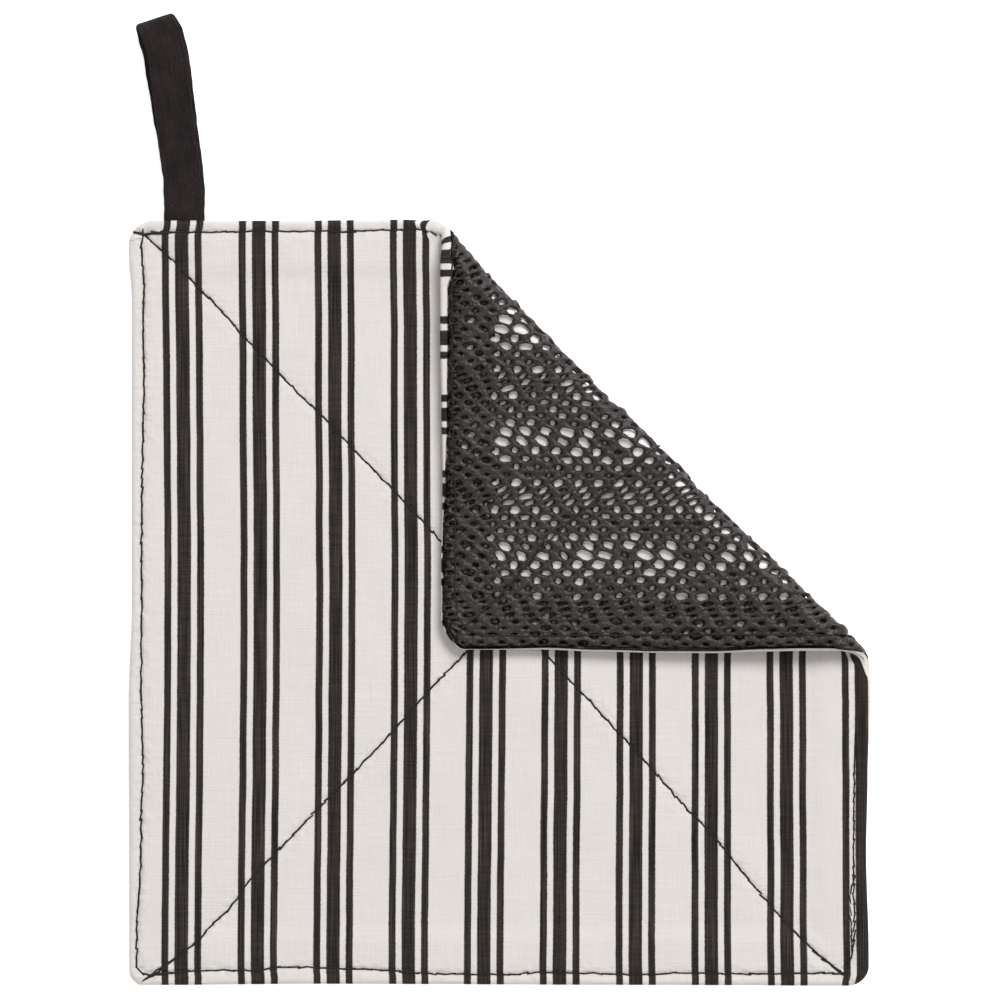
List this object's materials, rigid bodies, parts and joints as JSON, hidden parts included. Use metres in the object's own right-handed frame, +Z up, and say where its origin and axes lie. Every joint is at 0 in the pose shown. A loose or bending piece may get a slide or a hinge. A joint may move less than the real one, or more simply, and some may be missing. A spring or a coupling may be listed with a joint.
{
  "type": "jar gripper",
  "caption": "Square grip cloth of striped cotton backed with non-slip net, with a folded hanging loop and one corner turned over to show the net.",
  "frame": {"origin": "middle of the underside of the whole object's bounding box, on the table", "axes": "+Z up from the table, +Y across the square towards the hanging loop, +X across the square towards the folded corner's side"},
  "size_m": [0.2014, 0.2638, 0.0092],
  "materials": {
    "striped_cotton": "matt plain-weave cotton, off-white with printed dark stripes",
    "non_slip_net": "matt charcoal foamed vinyl net",
    "twill_tape": "matt black-brown cotton strip"
  },
  "bodies": {
    "root": {"face_cloth": "striped_cotton", "grip_mesh": "non_slip_net", "hanging_loop": "twill_tape"}
  },
  "joints": []
}
